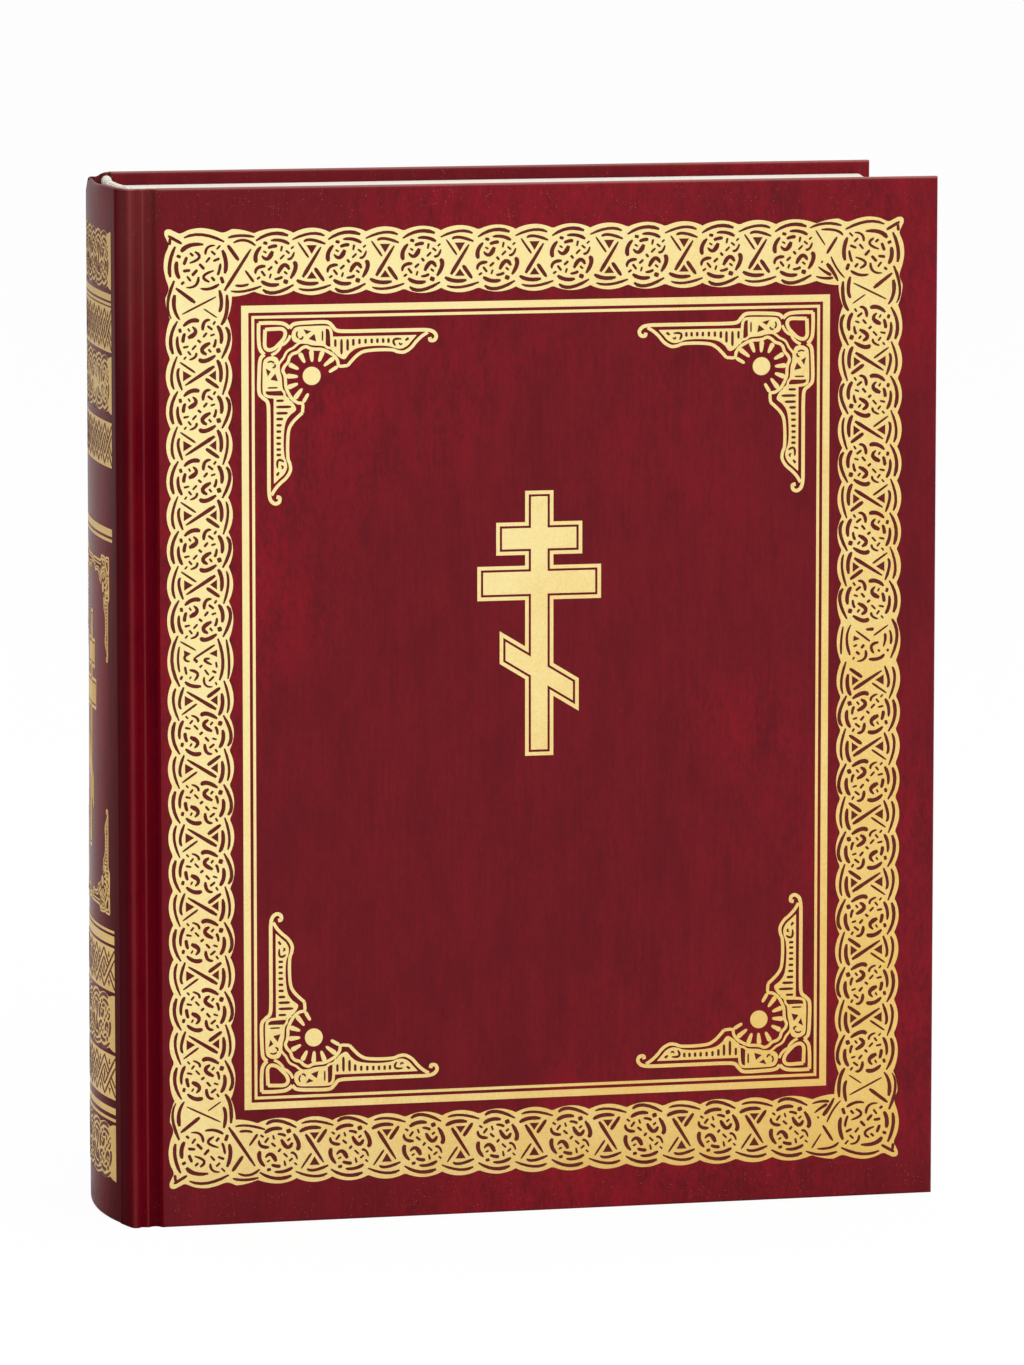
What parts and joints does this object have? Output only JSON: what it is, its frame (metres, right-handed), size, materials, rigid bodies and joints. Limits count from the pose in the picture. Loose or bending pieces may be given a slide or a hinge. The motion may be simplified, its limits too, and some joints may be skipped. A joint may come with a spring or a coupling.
{
  "type": "case-bound book",
  "caption": "Case-bound book in burgundy leatherette with gold-stamped covers that open, a sewn rounded text block, flyleaves and leaves that turn.",
  "frame": {"origin": "centre of the closed book's bounding box on the surface it stands on", "axes": "+Z from tail to head, +X from spine to fore-edge, -Y is the way the front cover faces"},
  "size_m": [0.2164, 0.0686, 0.268],
  "materials": {
    "leatherette": "satin",
    "gold_foil": "satin",
    "greyboard": "matte",
    "spine_card": "matte",
    "page_paper": "matte",
    "endpaper": "matte",
    "kraft_paper": "matte",
    "mull": "matte",
    "thread": "matte",
    "headband_cotton": "matte"
  },
  "bodies": {
    "block": {"spine_leatherette": "leatherette", "front_joint_leatherette": "leatherette", "back_joint_leatherette": "leatherette", "spine_card": "spine_card", "mull": "mull", "kraft_lining": "kraft_paper", "sewing_thread": "thread", "headband": "headband_cotton", "tailband": "headband_cotton", "section_04": "page_paper", "section_05": "page_paper", "section_06": "page_paper", "section_07": "page_paper", "section_08": "page_paper", "section_09": "page_paper", "section_10": "page_paper", "section_11": "page_paper", "section_12": "page_paper", "section_13": "page_paper", "section_14": "page_paper", "section_15": "page_paper", "section_16": "page_paper", "section_17": "page_paper", "section_18": "page_paper", "section_19": "page_paper", "section_20": "page_paper", "section_21": "page_paper", "section_22": "page_paper", "section_23": "page_paper", "section_24": "page_paper", "section_25": "page_paper", "section_26": "page_paper", "section_27": "page_paper", "section_01_fold": "page_paper", "section_02_fold": "page_paper", "section_03_fold": "page_paper", "section_28_fold": "page_paper", "section_29_fold": "page_paper", "section_30_fold": "page_paper"},
    "front_cover": {"front_board": "greyboard", "front_cover_leatherette": "leatherette", "front_pastedown": "endpaper", "front_mull_flange": "mull"},
    "front_flyleaf_leaf": {"front_flyleaf": "endpaper"},
    "back_cover": {"back_board": "greyboard", "back_cover_leatherette": "leatherette", "back_pastedown": "endpaper", "back_mull_flange": "mull"},
    "back_flyleaf_leaf": {"back_flyleaf": "endpaper"},
    "leaves_01": {"section_01_leaves": "page_paper"},
    "leaves_02": {"section_02_leaves": "page_paper"},
    "leaves_03": {"section_03_leaves": "page_paper"},
    "leaves_28": {"section_28_leaves": "page_paper"},
    "leaves_29": {"section_29_leaves": "page_paper"},
    "leaves_30": {"section_30_leaves": "page_paper"}
  },
  "joints": [
    {"name": "front_cover_open", "type": "hinge", "parent": "block", "child": "front_cover", "pos_m": [-0.10116, -0.034, 0.134], "axis": [0, 0, -1], "range_deg": [0, 178]},
    {"name": "front_flyleaf_turn", "type": "hinge", "parent": "block", "child": "front_flyleaf_leaf", "pos_m": [-0.09151, -0.03045, 0.134], "axis": [0, 0, -1], "range_deg": [0, 103.24]},
    {"name": "leaves_01_turn", "type": "hinge", "parent": "block", "child": "leaves_01", "pos_m": [-0.09126, -0.02995, 0.134], "axis": [0, 0, -1], "range_deg": [0, 81.88]},
    {"name": "leaves_02_turn", "type": "hinge", "parent": "block", "child": "leaves_02", "pos_m": [-0.08865, -0.02795, 0.134], "axis": [0, 0, -1], "range_deg": [0, 56.96]},
    {"name": "leaves_03_turn", "type": "hinge", "parent": "block", "child": "leaves_03", "pos_m": [-0.08606, -0.02595, 0.134], "axis": [0, 0, -1], "range_deg": [0, 30.26]},
    {"name": "back_cover_open", "type": "hinge", "parent": "block", "child": "back_cover", "pos_m": [-0.10116, 0.034, 0.134], "axis": [0, 0, 1], "range_deg": [0, 178]},
    {"name": "back_flyleaf_turn", "type": "hinge", "parent": "block", "child": "back_flyleaf_leaf", "pos_m": [-0.09151, 0.03045, 0.134], "axis": [0, 0, 1], "range_deg": [0, 103.24]},
    {"name": "leaves_30_turn", "type": "hinge", "parent": "block", "child": "leaves_30", "pos_m": [-0.09126, 0.02995, 0.134], "axis": [0, 0, 1], "range_deg": [0, 81.88]},
    {"name": "leaves_29_turn", "type": "hinge", "parent": "block", "child": "leaves_29", "pos_m": [-0.08865, 0.02795, 0.134], "axis": [0, 0, 1], "range_deg": [0, 56.96]},
    {"name": "leaves_28_turn", "type": "hinge", "parent": "block", "child": "leaves_28", "pos_m": [-0.08606, 0.02595, 0.134], "axis": [0, 0, 1], "range_deg": [0, 30.26]}
  ],
  "couplings": [
    {"joint": "front_flyleaf_turn", "follows": "front_cover_open", "ratio": 0.58},
    {"joint": "leaves_01_turn", "follows": "front_cover_open", "ratio": 0.46},
    {"joint": "leaves_02_turn", "follows": "front_cover_open", "ratio": 0.32},
    {"joint": "leaves_03_turn", "follows": "front_cover_open", "ratio": 0.17},
    {"joint": "back_flyleaf_turn", "follows": "back_cover_open", "ratio": 0.58},
    {"joint": "leaves_30_turn", "follows": "back_cover_open", "ratio": 0.46},
    {"joint": "leaves_29_turn", "follows": "back_cover_open", "ratio": 0.32},
    {"joint": "leaves_28_turn", "follows": "back_cover_open", "ratio": 0.17}
  ]
}
